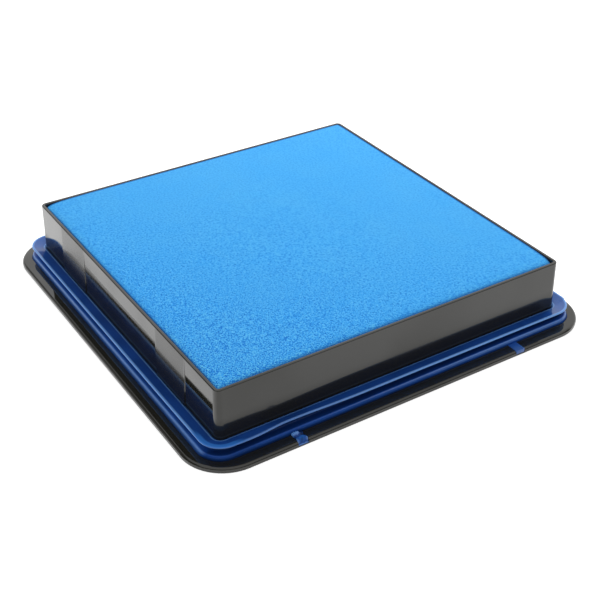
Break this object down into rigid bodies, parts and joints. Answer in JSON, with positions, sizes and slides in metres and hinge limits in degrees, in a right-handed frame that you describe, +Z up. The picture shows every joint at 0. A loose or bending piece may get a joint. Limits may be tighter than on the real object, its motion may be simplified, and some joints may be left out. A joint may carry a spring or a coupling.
{
  "type": "air filter cassette",
  "caption": "Square air filter cassette: flanged moulded frame with a soft lip seal, a pleated fine filter over a support grid and a lift-out foam pad.",
  "frame": {"origin": "under the middle of the frame, on the plane that the flange's underside rests on", "axes": "+Z up out of the frame through the foam pad, +X and +Y along its sides, with the two gate tabs on the -Y side"},
  "size_m": [0.1738, 0.1738, 0.0267],
  "materials": {
    "frame_plastic": "moulded, polished black",
    "seal_rubber": "soft translucent blue",
    "foam": "fine open-cell foam",
    "filter_paper": "stiff pleated filter paper",
    "hot_melt": "satin, drawn thread",
    "potting": "satin, poured"
  },
  "bodies": {
    "cassette": {"frame": "frame_plastic", "lip_seal": "seal_rubber", "filter_pleats": "filter_paper", "upper_spacer_threads": "hot_melt", "lower_spacer_threads": "hot_melt", "potting_rim": "potting"},
    "foam_pad": {"foam_pad": "foam"}
  },
  "joints": [
    {"name": "foam_pad_lift", "type": "slide", "parent": "cassette", "child": "foam_pad", "axis": [0, 0, 1], "range_m": [0, 0.025]}
  ]
}
